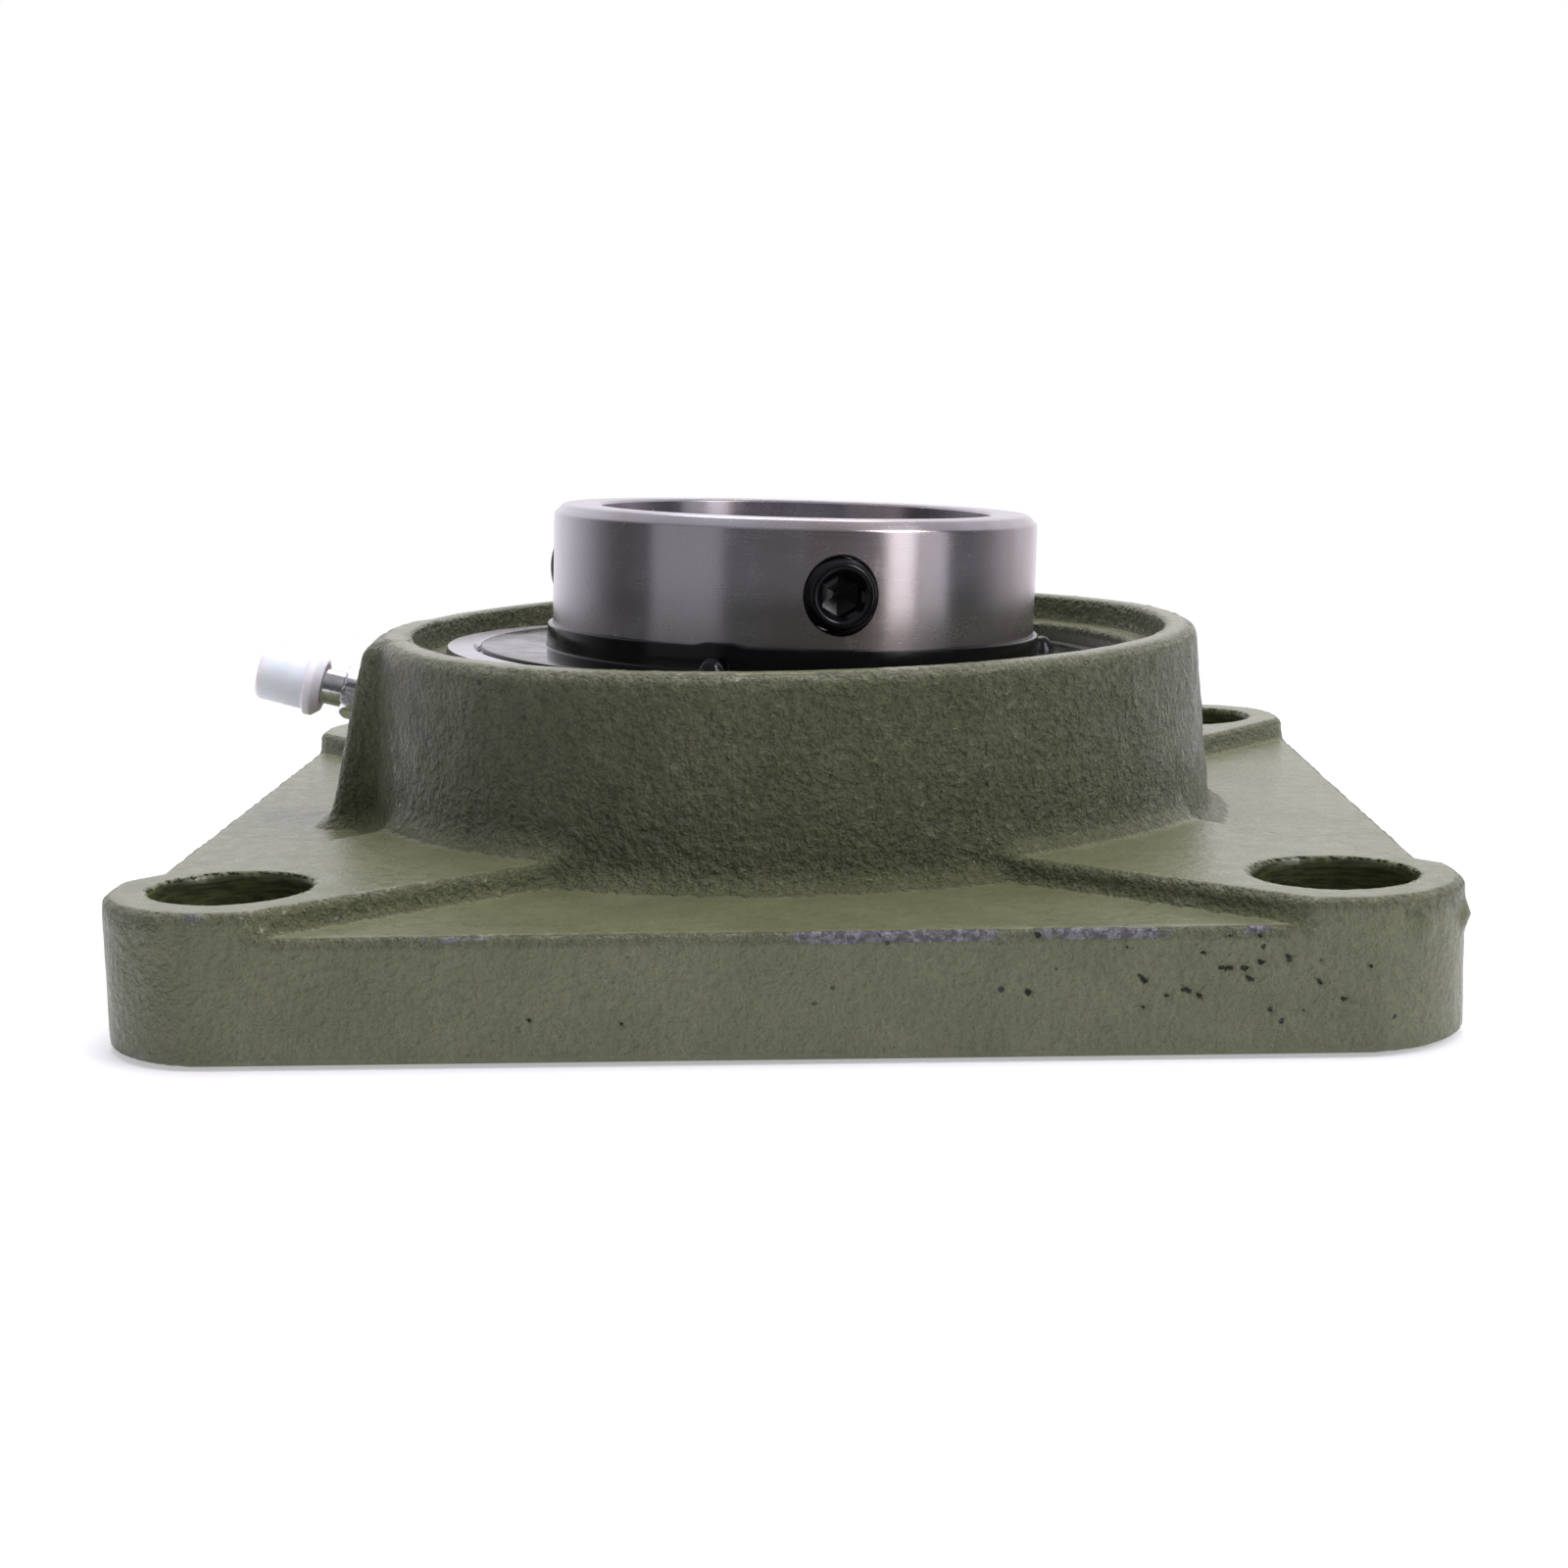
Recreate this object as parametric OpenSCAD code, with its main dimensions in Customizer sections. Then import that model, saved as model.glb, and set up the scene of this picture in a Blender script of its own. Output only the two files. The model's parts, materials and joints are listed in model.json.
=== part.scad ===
// Four-bolt square flange mount bearing.
// A cast housing with a spherical seat holds a ball bearing insert that can tilt to follow
// the shaft. The shaft is gripped by two set screws in the long inner ring.
// Origin: centre of the mounting face. +Z points out of the front of the housing.
// -X is the side of the grease nipple. All sizes are in millimetres.

/* [Flange] */
// Length of each side of the square flange
flange_side = 160; // [156:1:166]
// Thickness of the flange at its corners and ridges
flange_t = 18; // [16:0.5:20]
// Radius of the flange's corners in plan
corner_r = 15; // [12:1:16]
// Distance between neighbouring bolt holes
bolt_spacing = 130; // [126:1:134]
// Diameter of a bolt hole
bolt_d = 19; // [15:0.5:20]
// Depth of the recessed panel between two ridges
panel_depth = 3; // [1:0.5:4]

/* [Boss] */
// Radius of the boss where it leaves the flange
boss_r = 58.6; // [57.5:0.1:60]
// Draft of the boss wall, in degrees
boss_draft = 4; // [0:0.5:5]
// Height of the housing over the mounting face
boss_top = 41.5; // [40:0.5:43]
// Radius of the counterbore in the boss, above the seat
mouth_r = 52.5; // [51:0.1:53]
// Height of the ledge at the bottom of the counterbore
ledge_z = 37.7; // [37:0.1:38.5]
// Height of the seat's centre over the mounting face
seat_z = 25; // [24.5:0.1:25.5]

/* [Insert] */
// Radius of the shaft bore
bore_r = 27.5; // [25:0.5:28]
// Radius of the outer ring's spherical outside
sphere_r = 50; // [49.9:0.05:50.1]
// Width of the outer ring
outer_w = 25; // [24:0.5:25]
// Outside radius of the inner ring
inner_r = 33.8; // [33.6:0.1:34]
// Length of the inner ring behind the ball plane
inner_back = 23; // [20:0.2:23]
// Length of the inner ring in front of the ball plane
inner_front = 32.6; // [32:0.2:35]
// Radius of a ball
ball_r = 7.144; // [6.9:0.001:7.2]
// Radius of the circle through the ball centres
pitch_r = 38.75; // [38.6:0.05:38.9]
// Number of balls
ball_count = 10; // [8:1:10]
// Tilt of the insert in its seat towards +X, in degrees
lean_x = 2.6; // [0:0.1:2.6]
// Tilt of the insert in its seat towards +Y, in degrees
lean_y = 1.1; // [0:0.1:1.2]

/* [Set screws] */
// Radius over the thread of a set screw
screw_r = 4.9; // [4.8:0.05:4.9]
// Length of a set screw
screw_len = 7.5; // [6:0.1:8]
// Distance of the set screws from the front face of the inner ring
screw_inset = 9.6; // [9:0.1:11]
// Distance by which the first set screw stands out of the ring
screw_out_1 = 1.4; // [0.5:0.1:2.5]
// Distance by which the second set screw stands out of the ring
screw_out_2 = 2.1; // [0.5:0.1:2.5]
// Direction of the first set screw around the bore, in degrees
screw_angle = -78.5; // [-90:0.5:-60]

/* [Grease nipple] */
// Upward tilt of the nipple and of the face that it stands on, in degrees
nipple_tilt = 14; // [10:1:16]
// Height at which the nipple's axis leaves the lug
nipple_z = 32.2; // [31:0.1:33]
// Distance of the same point from the housing's axis
nipple_x = 60.3; // [59.5:0.1:61]
// Hexagon of the nipple, across its flats
nipple_af = 7; // [6.5:0.5:7.5]

/* [Hidden] */

$fn = 96;
eps = 0.01;                                  // overshoot of a cut past a face
paint = [0.36, 0.38, 0.23];
steel = [0.72, 0.72, 0.74];
bright = [0.86, 0.86, 0.88];
black = [0.09, 0.09, 0.10];
rubber = [0.16, 0.16, 0.17];
cap_white = [0.93, 0.93, 0.95];

panel_z = flange_t - panel_depth;
boss_top_r = boss_r - (boss_top - flange_t) * tan(boss_draft);
panel_half = 61.5;                           // half width of a panel 1 mm off the flange's edge
panel_end_half = 27;                         // half width of a panel's inner end
panel_end_y = 52.5;                          // inner end of a panel, from the centre, inside the boss
back_open_r = 46;                            // opening in the mounting face
seat_mouth_r = 48.4;                         // straight mouth between the seat and the ledge
lug_half = 11.3;                             // half width of the nipple's lug at its face
lug_root_half = 13.5;                        // half width of the same lug inside the boss
slot_w = outer_w + 1;                        // loading slot, across
slot_r = sphere_r + 0.2;                     // loading slot, from the axis
seat_gap = 0.03;                             // running clearance of the spherical seat
groove_r = 7.35;                             // cross-section radius of both ball tracks
track_gap = 0.01;                            // clearance of a ball in its tracks
shoulder_r = 43;                             // bore of the outer ring beside the track
seal_seat_r = 44.3;                          // recess of the outer ring for a seal
seal_in = 9;                                 // inner side of a seal, from the ball plane
core_z = seal_in + 0.3;                      // inner side of a seal's steel core
core_in_r = 36.5;                            // inner edge of the same core
pocket_r = ball_r + 0.2;                     // inside of a cage pocket
cage_t = 0.9;                                // sheet thickness of the cage
cage_in = 36.2;                              // inner edge of the cage
cage_out = 41.3;                             // outer edge of the cage
rivet_r = 0.9;                               // shank of a cage rivet
flinger_z = 12;                              // inner side of the flinger's disc
sheet_t = 0.8;                               // sheet thickness of flingers and seal cores
screw_hole_r = screw_r + 0.05;
screw_z = inner_front - screw_inset;
duct_r = 1.5;                                // grease duct through the lug
nipple_thread_r = 3;                         // thread of the nipple's shank
nipple_head_r = 3.1;                         // head of the nipple, which holds the cap
nipple_chamber_r = 1.4;                      // chamber for the spring and the check ball

// Points of an arc about (x, y), from angle a to angle b in n steps.
function arc(x, y, r, a, b, n = 8) =
    [for (i = [0:n]) [x + r * cos(a + (b - a) * i / n), y + r * sin(a + (b - a) * i / n)]];

// Puts the insert in its seat, with its local origin at the centre of the ball plane.
module in_seat() {
    translate([0, 0, seat_z]) rotate([-lean_y, 0, 0]) rotate([0, lean_x, 0]) children();
}

// Puts a piece on the nipple's axis: local +Z points out of the lug, z = 0 is the lug's face.
module on_nipple_axis() {
    translate([-nipple_x, 0, nipple_z]) rotate([0, nipple_tilt - 90, 0]) children();
}

// Copies of a child at the four bolt holes.
module at_bolts() {
    for (x = [-1, 1], y = [-1, 1])
        translate([x * bolt_spacing / 2, y * bolt_spacing / 2, 0]) children();
}

// ---------------------------------------------------------------- housing

// Outline of the flange: a square with round corners.
module flange_outline() {
    straight = flange_side - 2 * corner_r;
    square([flange_side, straight], center = true);
    square([straight, flange_side], center = true);
    for (x = [-1, 1], y = [-1, 1])
        translate([x * straight / 2, y * straight / 2]) circle(r = corner_r);
}

// Outline of the recessed panels, one along each side of the flange.
module panel_outline() {
    edge = flange_side / 2 + 1;
    for (a = [0, 90, 180, 270])
        rotate(a) polygon([[-panel_half, -edge], [panel_half, -edge],
                           [panel_end_half, -panel_end_y], [-panel_end_half, -panel_end_y]]);
}

// Turned blank of the boss: drafted wall and rounded rim.
module boss_blank() {
    rim_r = 2;
    rotate_extrude()
        polygon(concat(
            [[0, 0], [boss_r, 0], [boss_r, flange_t]],
            arc(boss_top_r - rim_r, boss_top - rim_r, rim_r, 0, 90),
            [[0, boss_top]]));
}

// Fillet ring of radius r around the foot of the boss, standing on height z.
module foot_fillet(z, r) {
    rotate_extrude()
        polygon(concat(
            [[boss_r - 2, z - 1], [boss_r + r, z - 1]],
            arc(boss_r + r, z + r, r, 270, 180),
            [[boss_r - 2, z + r]]));
}

// Lug for the grease nipple: a pad down the -X side of the boss with a sloping face.
module nipple_lug() {
    slope = tan(nipple_tilt);
    top = 40;
    low = 5;
    face_top = nipple_x - (top - nipple_z) * slope;
    face_low = nipple_x + (nipple_z - low) * slope;
    intersection() {
        rotate([90, 0, 0]) linear_extrude(height = 40, center = true)
            polygon([[-50, low], [-face_low, low], [-face_top - 0.3, top - 1.2],
                     [-face_top + 1, top], [-50, top]]);
        linear_extrude(height = boss_top)
            polygon([[-72, -lug_half], [-72, lug_half],
                     [-50, lug_root_half], [-50, -lug_root_half]]);
    }
}

module housing_blank() {
    linear_extrude(height = panel_z) flange_outline();
    linear_extrude(height = flange_t) difference() {
        flange_outline();
        panel_outline();
    }
    boss_blank();
    foot_fillet(panel_z, 5);
    nipple_lug();
}

module housing() {
    hole_edge = 0.5;
    mouth_edge = 0.8;
    tapped_depth = 6.5;
    color(paint) difference() {
        housing_blank();
        at_bolts() {
            translate([0, 0, -1]) cylinder(d = bolt_d, h = flange_t + 2);
            translate([0, 0, flange_t - hole_edge])
                cylinder(r1 = bolt_d / 2, r2 = bolt_d / 2 + 2 * hole_edge, h = 2 * hole_edge);
        }
        // spherical seat, its two open ends and the counterbore
        translate([0, 0, seat_z]) sphere(r = sphere_r);
        translate([0, 0, -1]) cylinder(r = back_open_r, h = seat_z);
        translate([0, 0, seat_z]) cylinder(r = seat_mouth_r, h = boss_top);
        translate([0, 0, ledge_z]) cylinder(r = mouth_r, h = boss_top);
        translate([0, 0, boss_top - mouth_edge])
            cylinder(r1 = mouth_r, r2 = mouth_r + 1.25 * mouth_edge, h = 1.25 * mouth_edge);
        // two slots through which the insert is loaded sideways
        translate([0, 0, seat_z]) intersection() {
            cylinder(r = slot_r, h = boss_top);
            translate([-slot_w / 2, -60, 0]) cube([slot_w, 120, boss_top]);
        }
        // tapped hole and duct for grease
        on_nipple_axis() {
            translate([0, 0, -tapped_depth]) cylinder(r = nipple_thread_r + 0.02, h = 20);
            translate([0, 0, -20]) cylinder(r = duct_r, h = 20);
        }
    }
}

// ---------------------------------------------------------------- grease nipple

// Nipple: threaded shank, hexagon, stem and head, with a through duct and a ball chamber.
module nipple_body() {
    stem_r = 2.5;
    shank = 6;
    hex_h = 3;
    head_z = 9.6;
    head_h = 1.6;
    duct = 0.9;
    chamber_z = 4;
    chamber_h = 7.6;
    color(bright) on_nipple_axis() difference() {
        union() {
            translate([0, 0, -shank]) cylinder(r = stem_r, h = shank + 1);
            for (i = [0:4]) translate([0, 0, i + 0.5 - shank]) {
                cylinder(r1 = stem_r, r2 = nipple_thread_r, h = 0.5);
                translate([0, 0, 0.5]) cylinder(r1 = nipple_thread_r, r2 = stem_r, h = 0.5);
            }
            cylinder(d = nipple_af / cos(30), h = hex_h, $fn = 6);
            cylinder(r = stem_r, h = head_z);
            translate([0, 0, head_z - 0.8]) cylinder(r1 = stem_r, r2 = nipple_head_r, h = 0.8);
            translate([0, 0, head_z]) cylinder(r = nipple_head_r, h = head_h);
            translate([0, 0, head_z + head_h]) cylinder(r1 = nipple_head_r, r2 = 1.5, h = head_h);
        }
        translate([0, 0, -shank - 1]) cylinder(r = duct, h = 22);
        translate([0, 0, chamber_z]) cylinder(r = nipple_chamber_r, h = chamber_h);
        translate([0, 0, chamber_z + chamber_h])
            cylinder(r1 = nipple_chamber_r, r2 = duct, h = 0.5);
    }
}

// Spring under the check ball, drawn as a stack of wire turns.
module nipple_spring() {
    wire_r = 0.14;
    coil_r = 1.05;
    turns = 8;
    pitch = 0.72;
    low = 4.2;
    color(steel) on_nipple_axis()
        for (i = [0:turns - 1])
            translate([0, 0, low + i * pitch])
                rotate_extrude() translate([coil_r, 0]) circle(r = wire_r, $fn = 16);
}

// Check ball, held against the end of its chamber by the spring.
module nipple_check_ball() {
    ball_z = 10.7;
    color(steel) on_nipple_axis() translate([0, 0, ball_z]) sphere(r = 1.1, $fn = 48);
}

// Dust cap: a thin cup pushed over the nipple's head, with a thicker rim.
module nipple_cap() {
    open_z = 6;
    tip_z = 15.2;
    open_r = 3.6;
    rim_r = 4.6;
    rim_h = 1.1;
    wall_r = 3.95;
    tip_r = 3.8;
    tip_round = 0.9;
    inside_r = nipple_head_r + 0.1;
    color(cap_white) on_nipple_axis() difference() {
        union() {
            rotate_extrude() polygon(concat(
                [[0, open_z], [open_r, open_z], [wall_r, open_z + 1]],
                arc(tip_r - tip_round, tip_z - tip_round, tip_round, 0, 90),
                [[0, tip_z]]));
            translate([0, 0, open_z]) cylinder(r1 = open_r, r2 = rim_r, h = rim_h);
            translate([0, 0, open_z + rim_h]) cylinder(r = rim_r, h = rim_h);
            translate([0, 0, open_z + 2 * rim_h]) cylinder(r1 = rim_r, r2 = wall_r, h = 0.4);
        }
        translate([0, 0, open_z - 1]) cylinder(r = inside_r, h = tip_z - open_z);
    }
}

// ---------------------------------------------------------------- insert, standing parts

// Outer ring: spherical outside, ball track, recesses for the seals, and a grease groove.
module outer_ring() {
    ring_r = sphere_r - seat_gap;
    grease_floor_r = 48.4;
    track_r = pitch_r + ball_r + track_gap - groove_r;
    color(steel) in_seat() difference() {
        intersection() {
            sphere(r = ring_r, $fn = 160);
            cylinder(r = sphere_r + 1, h = outer_w, center = true);
        }
        cylinder(r = shoulder_r, h = outer_w + 1, center = true);
        rotate_extrude() translate([track_r, 0]) circle(r = groove_r);
        for (side = [0, 1]) mirror([0, 0, side]) {
            translate([0, 0, seal_in]) cylinder(r = seal_seat_r, h = outer_w);
            translate([0, 0, outer_w / 2 - 0.5])
                cylinder(r1 = seal_seat_r, r2 = seal_seat_r + 1, h = 1);
        }
        // groove around the outside and one hole that leads the grease in beside the track
        translate([0, 0, 4]) difference() {
            cylinder(r = sphere_r + 1, h = 4);
            translate([0, 0, -1]) cylinder(r = grease_floor_r, h = 6);
        }
        translate([0, 0, 7]) rotate([0, -90, 0]) cylinder(r = 1, h = sphere_r);
    }
}

// One seal core: a pressed steel disc with a rim that sits in the outer ring's recess.
module seal_core() {
    rim_r = seal_seat_r - 0.1;
    color(steel) difference() {
        translate([0, 0, core_z]) cylinder(r = rim_r, h = 2);
        translate([0, 0, seal_in - 1]) cylinder(r = core_in_r, h = 5);
        translate([0, 0, core_z + sheet_t]) cylinder(r = rim_r - sheet_t, h = 5);
    }
}

// One rubber lip, moulded on the inner edge of its core and just clear of the inner ring.
module seal_lip() {
    lip_h = 1.4;
    skin_r = 40;
    lip_gap = 0.25;
    color(rubber) difference() {
        union() {
            translate([0, 0, seal_in + 0.1]) cylinder(r = core_in_r - 0.05, h = lip_h);
            translate([0, 0, core_z + sheet_t]) cylinder(r = skin_r, h = 0.4);
        }
        translate([0, 0, seal_in - 1]) cylinder(r = inner_r + lip_gap, h = 5);
    }
}

module seal_core_front() in_seat() seal_core();
module seal_lip_front() in_seat() seal_lip();
module seal_core_back() in_seat() mirror([0, 0, 1]) seal_core();
module seal_lip_back() in_seat() mirror([0, 0, 1]) seal_lip();

// ---------------------------------------------------------------- insert, turning parts

// Points a child's +Z radially outwards at set screw i, from the bore's axis.
module at_screw(i) {
    translate([0, 0, screw_z]) rotate([0, 0, screw_angle - 120 * i]) rotate([0, 90, 0])
        children();
}

// Inner ring: shaft bore, ball track, and two threaded holes for the set screws.
module inner_ring() {
    edge = 1.4;
    lead_in = 0.4;
    track_r = pitch_r - ball_r - track_gap + groove_r;
    color(steel) in_seat() difference() {
        rotate_extrude()
            polygon(concat(
                [[bore_r + lead_in, -inner_back], [inner_r - edge, -inner_back],
                 [inner_r, -inner_back + edge]],
                arc(inner_r - edge, inner_front - edge, edge, 0, 90, 6),
                [[bore_r + lead_in, inner_front], [bore_r, inner_front - lead_in],
                 [bore_r, -inner_back + lead_in]]));
        rotate_extrude() translate([track_r, 0]) circle(r = groove_r);
        for (i = [0, 1]) at_screw(i) {
            cylinder(r = screw_hole_r, h = inner_r + 5);
            translate([0, 0, inner_r - 0.35])
                cylinder(r1 = screw_hole_r, r2 = screw_hole_r + 1.35, h = 1.35);
        }
    }
}

// One flinger: a disc in front of the seal and a collar pressed on the inner ring.
module flinger() {
    collar_r = inner_r + 0.9;
    collar_top = 16.1;
    foot = 0.4;
    disc_r = 43.8;
    color(black) difference() {
        union() {
            translate([0, 0, flinger_z]) cylinder(r = disc_r, h = sheet_t);
            translate([0, 0, flinger_z]) cylinder(r = collar_r, h = collar_top - flinger_z);
            translate([0, 0, flinger_z + sheet_t])
                cylinder(r1 = collar_r + foot, r2 = collar_r, h = foot);
        }
        translate([0, 0, flinger_z - 1]) cylinder(r = inner_r + 0.02, h = 10);
    }
}

module flinger_front() in_seat() flinger();
module flinger_back() in_seat() mirror([0, 0, 1]) flinger();

// Copies of a child around the pitch circle, shifted by a part of a step.
module around_pitch(shift = 0) {
    for (i = [0:ball_count - 1])
        rotate([0, 0, (i + shift) * 360 / ball_count]) translate([pitch_r, 0, 0]) children();
}

// One half of the cage: a flat ring with a pocket over each ball, in sheet metal.
module cage_half() {
    color(steel) difference() {
        intersection() {
            union() {
                cylinder(r = cage_out, h = cage_t);
                around_pitch() sphere(r = pocket_r + cage_t, $fn = 64);
            }
            cylinder(r = cage_out, h = 12);
        }
        translate([0, 0, -1]) cylinder(r = cage_in, h = 14);
        around_pitch() sphere(r = pocket_r, $fn = 64);
        around_pitch(0.5) translate([0, 0, -1]) cylinder(r = rivet_r + 0.02, h = 4, $fn = 24);
    }
}

module cage_front() in_seat() cage_half();
module cage_back() in_seat() mirror([0, 0, 1]) cage_half();

// Rivets that join the halves of the cage between the balls.
module cage_rivets() {
    head_r = 1.6;
    head_h = 0.7;
    color(bright) in_seat() around_pitch(0.5) {
        translate([0, 0, -cage_t]) cylinder(r = rivet_r, h = 2 * cage_t, $fn = 24);
        for (side = [0, 1]) mirror([0, 0, side])
            translate([0, 0, cage_t]) cylinder(r1 = head_r, r2 = rivet_r, h = head_h, $fn = 24);
    }
}

// Ball i of the set, counted from the nipple's opposite side.
module ball(i) {
    color(bright) in_seat() rotate([0, 0, (i - 1) * 360 / ball_count])
        translate([pitch_r, 0, 0]) sphere(r = ball_r, $fn = 64);
}

// ---------------------------------------------------------------- set screws

// Set screw i: ringed thread, bevelled outer end, hexagon socket and cup point.
module set_screw(i) {
    pitch = 1;
    depth = 0.5;
    bevel = 0.8;
    face_r = 4.2;
    point_r = 3.4;
    socket_af = 5;
    socket_depth = 4;
    cup_r = 2.2;
    screw_top = inner_r + (i == 0 ? screw_out_1 : screw_out_2);
    point = screw_top - screw_len;
    rings = floor((screw_len - 2 * bevel) / pitch);
    color(black) in_seat() at_screw(i) difference() {
        union() {
            translate([0, 0, point]) cylinder(r1 = point_r, r2 = screw_r - depth, h = bevel);
            translate([0, 0, point + bevel])
                cylinder(r = screw_r - depth, h = screw_len - 2 * bevel);
            for (k = [0:rings - 1]) translate([0, 0, point + bevel + k * pitch]) {
                cylinder(r1 = screw_r - depth, r2 = screw_r, h = pitch / 2);
                translate([0, 0, pitch / 2])
                    cylinder(r1 = screw_r, r2 = screw_r - depth, h = pitch / 2);
            }
            translate([0, 0, screw_top - 0.9])
                cylinder(r1 = screw_r - 0.1, r2 = face_r, h = 0.9);
        }
        translate([0, 0, screw_top - socket_depth])
            cylinder(d = socket_af / cos(30), h = socket_depth + 1, $fn = 6);
        translate([0, 0, point - eps]) cylinder(r1 = cup_r, r2 = 0.2, h = 1.6);
    }
}

housing();
nipple_body();
nipple_spring();
nipple_check_ball();
nipple_cap();
outer_ring();
seal_core_front();
seal_lip_front();
seal_core_back();
seal_lip_back();
inner_ring();
flinger_front();
flinger_back();
cage_front();
cage_back();
cage_rivets();
ball(1);  // ball_01
ball(2);  // ball_02
ball(3);  // ball_03
ball(4);  // ball_04
ball(5);  // ball_05
ball(6);  // ball_06
ball(7);  // ball_07
ball(8);  // ball_08
ball(9);  // ball_09
ball(10);  // ball_10
set_screw(0);  // set_screw_1
set_screw(1);  // set_screw_2
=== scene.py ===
"""Looks of the square flange mount bearing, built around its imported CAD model.

Lengths are millimetres, and MM turns them into Blender's metres. Only the studio's lights and floor
are given in metres. The housing is a distance field turned into a mesh, and the turned parts are
rings of points about their own axis.
"""

import json
import math

import bmesh
import bpy
import numpy as np
import openvdb
from mathutils import Matrix, Vector


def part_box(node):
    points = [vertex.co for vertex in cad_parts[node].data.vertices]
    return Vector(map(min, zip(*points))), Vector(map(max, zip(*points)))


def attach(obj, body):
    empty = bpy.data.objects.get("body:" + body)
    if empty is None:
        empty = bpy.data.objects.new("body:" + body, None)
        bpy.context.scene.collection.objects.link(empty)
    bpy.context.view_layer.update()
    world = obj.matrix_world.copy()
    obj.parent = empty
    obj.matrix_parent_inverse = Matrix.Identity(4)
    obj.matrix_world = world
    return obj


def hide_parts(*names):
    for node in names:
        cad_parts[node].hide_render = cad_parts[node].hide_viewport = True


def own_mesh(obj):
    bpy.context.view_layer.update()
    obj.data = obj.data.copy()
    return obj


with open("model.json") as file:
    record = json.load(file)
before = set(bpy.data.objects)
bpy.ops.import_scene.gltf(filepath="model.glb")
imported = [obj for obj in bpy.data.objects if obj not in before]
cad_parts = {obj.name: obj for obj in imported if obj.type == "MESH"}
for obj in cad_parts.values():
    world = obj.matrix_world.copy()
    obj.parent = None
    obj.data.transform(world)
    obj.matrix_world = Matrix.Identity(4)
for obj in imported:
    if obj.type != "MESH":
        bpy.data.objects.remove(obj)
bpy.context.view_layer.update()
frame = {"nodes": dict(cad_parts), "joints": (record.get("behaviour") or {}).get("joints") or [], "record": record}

MM = 0.001
SEED = 211
JOINTS = {joint["name"]: joint for joint in frame["joints"]}
MOUNTS = {mount["name"]: mount for mount in frame["record"]["mounts"]}


# ------------------------------------------------------------------ sizes, in millimetres

FLANGE_HALF = (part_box("housing")[1].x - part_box("housing")[0].x) / MM / 2
BOSS_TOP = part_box("housing")[1].z / MM
BOLT = MOUNTS["bolt_holes"]["dims"]["spacing_x_mm"] / 2
BOLT_R = MOUNTS["bolt_holes"]["dims"]["hole_r_mm"]
BORE_R = MOUNTS["shaft_bore"]["dims"]["r_mm"]
SEAT_Z = JOINTS["self_align"]["pos_m"][2] / MM
FLANGE_T = 18.0
PANEL_Z = 15.0
CORNER_R = 15.0
# how far from the middle and how far aside a panel's side wall starts and ends
PANEL_OUTER = (79.5, 60.0)
PANEL_INNER = (52.5, 27.0)
BOSS_R = 58.6
BOSS_DRAFT = math.radians(4)
BOSS_FILLET = 3.6
LUG_TOP = 40.3
LUG_FILLET = 2.6
MOUTH_R = 52.5
LEDGE_Z = 37.7
THROAT_R = 48.4
SEAT_R = 50.0
SLOT_HALF = 13.0
BACK_R = 46.0
TAPPED_R = 3.05
TAPPED_DEPTH = 6.5
DUCT_R = 1.5
DUCT_DEPTH = 18.0
CELL = 0.62
RING_R = 33.8
RING_FRONT = 32.6
RING_BACK = -23.0
TRACK_BOTTOM_R = 31.55
TRACK_CURVE_R = 7.37
TRACK_HALF = 5.2
SCREW_Z = 23.0
SCREW_HOLE_R = 4.95
SCREW_LENGTH = 7.5
SCREW_OUT = (1.4, 2.1)
FLINGER_R = 43.8
FLINGER_Z = 12.0
FLINGER_TOP = 12.8
FLINGER_LIP = 16.05
STAKES = (-105, 15, 135)
STAKE_LIFT = 0.42
DOME_AT = 37.1
DOME_R = 1.8
DOME_HEIGHT = 2.0
NIPPLE_ROOT = Vector((-60.3, 0.0, 32.2))
SPRING_LOW = 4.2
SPRING_LENGTH = 5.2
SPRING_R = 1.05
WIRE_R = 0.14

# ------------------------------------------------------------------ camera and light

CAMERA_PLACE = (8.9, -362.5, 79.7)
CAMERA_YAW = -1.56
CAMERA_PITCH = 9.59
CAMERA_ROLL = -1.13
CAMERA_LENS = 59.17
LIGHT_TINT = (1.0, 0.975, 1.02)

# ------------------------------------------------------------------ frames of the moving parts

INSERT_AXIS = Vector(JOINTS["inner_spin"]["axis"]).normalized()
INSERT = (
    Matrix.Translation((0, 0, SEAT_Z * MM))
    @ Matrix.Rotation(-math.atan2(INSERT_AXIS.y, INSERT_AXIS.z), 4, "X")
    @ Matrix.Rotation(math.asin(INSERT_AXIS.x), 4, "Y")
)
NIPPLE_AXIS = Vector(JOINTS["cap_pull"]["axis"]).normalized()
NIPPLE = Matrix.Translation(NIPPLE_ROOT * MM) @ Matrix.Rotation(
    math.atan2(NIPPLE_AXIS.x, NIPPLE_AXIS.z), 4, "Y"
)


# ------------------------------------------------------------------ camera, light and floor


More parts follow.
